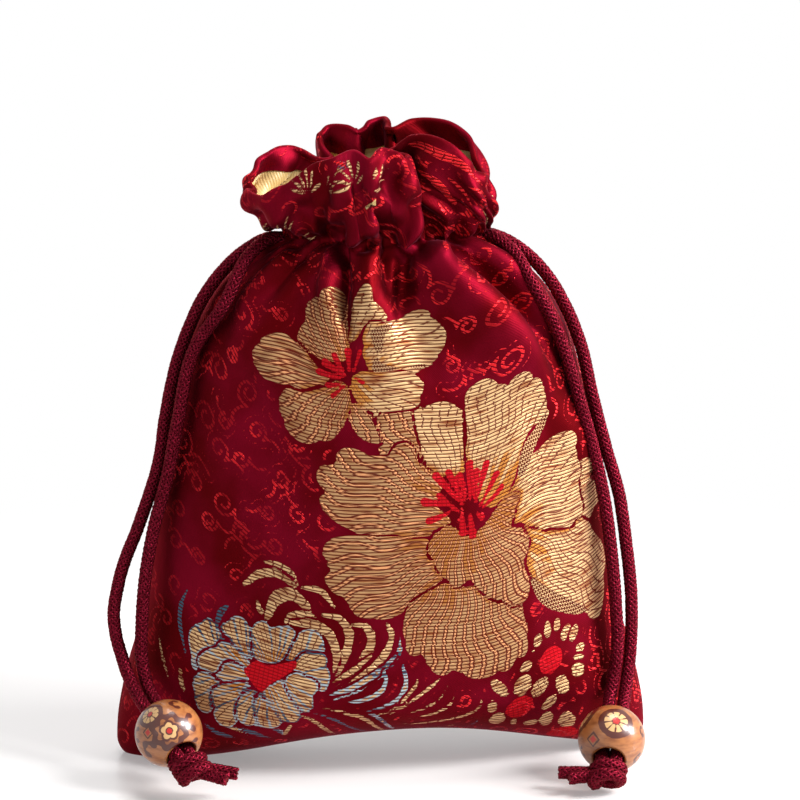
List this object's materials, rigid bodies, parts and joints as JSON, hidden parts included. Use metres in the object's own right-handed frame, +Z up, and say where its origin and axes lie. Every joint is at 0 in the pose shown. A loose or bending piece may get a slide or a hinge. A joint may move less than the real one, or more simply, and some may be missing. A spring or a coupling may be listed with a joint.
{
  "type": "drawstring pouch",
  "caption": "Lined drawstring pouch of figured satin with a ruffled mouth, braided cords drawn through the neck, and a round wooden bead and knot on each side.",
  "frame": {"origin": "on the ground under the middle of the base", "axes": "+Z up towards the mouth, -Y the front on which both beads and knots lie, +X towards the right-hand bead seen from the front"},
  "size_m": [0.1318, 0.0756, 0.1544],
  "materials": {
    "brocade": "figured satin, soft sheen, floats of gold thread",
    "lining": "plain twill satin, soft sheen",
    "cord": "braided satin cord",
    "bead": "varnished, printed with wheels and petals"
  },
  "bodies": {
    "pouch": {"front_panel": "brocade", "back_panel": "brocade", "lining_front": "lining", "lining_back": "lining", "drawstring_left": "cord", "drawstring_right": "cord", "knot_left": "cord", "knot_right": "cord"},
    "bead_left": {"bead_left": "bead"},
    "bead_right": {"bead_right": "bead"}
  },
  "joints": [
    {"name": "bead_left_slide", "type": "slide", "parent": "pouch", "child": "bead_left", "axis": [-0.4294, 0.759, 0.4894], "range_m": [0, 0.005]},
    {"name": "bead_right_slide", "type": "slide", "parent": "pouch", "child": "bead_right", "axis": [0.2001, 0.8703, 0.4501], "range_m": [0, 0.005]}
  ]
}
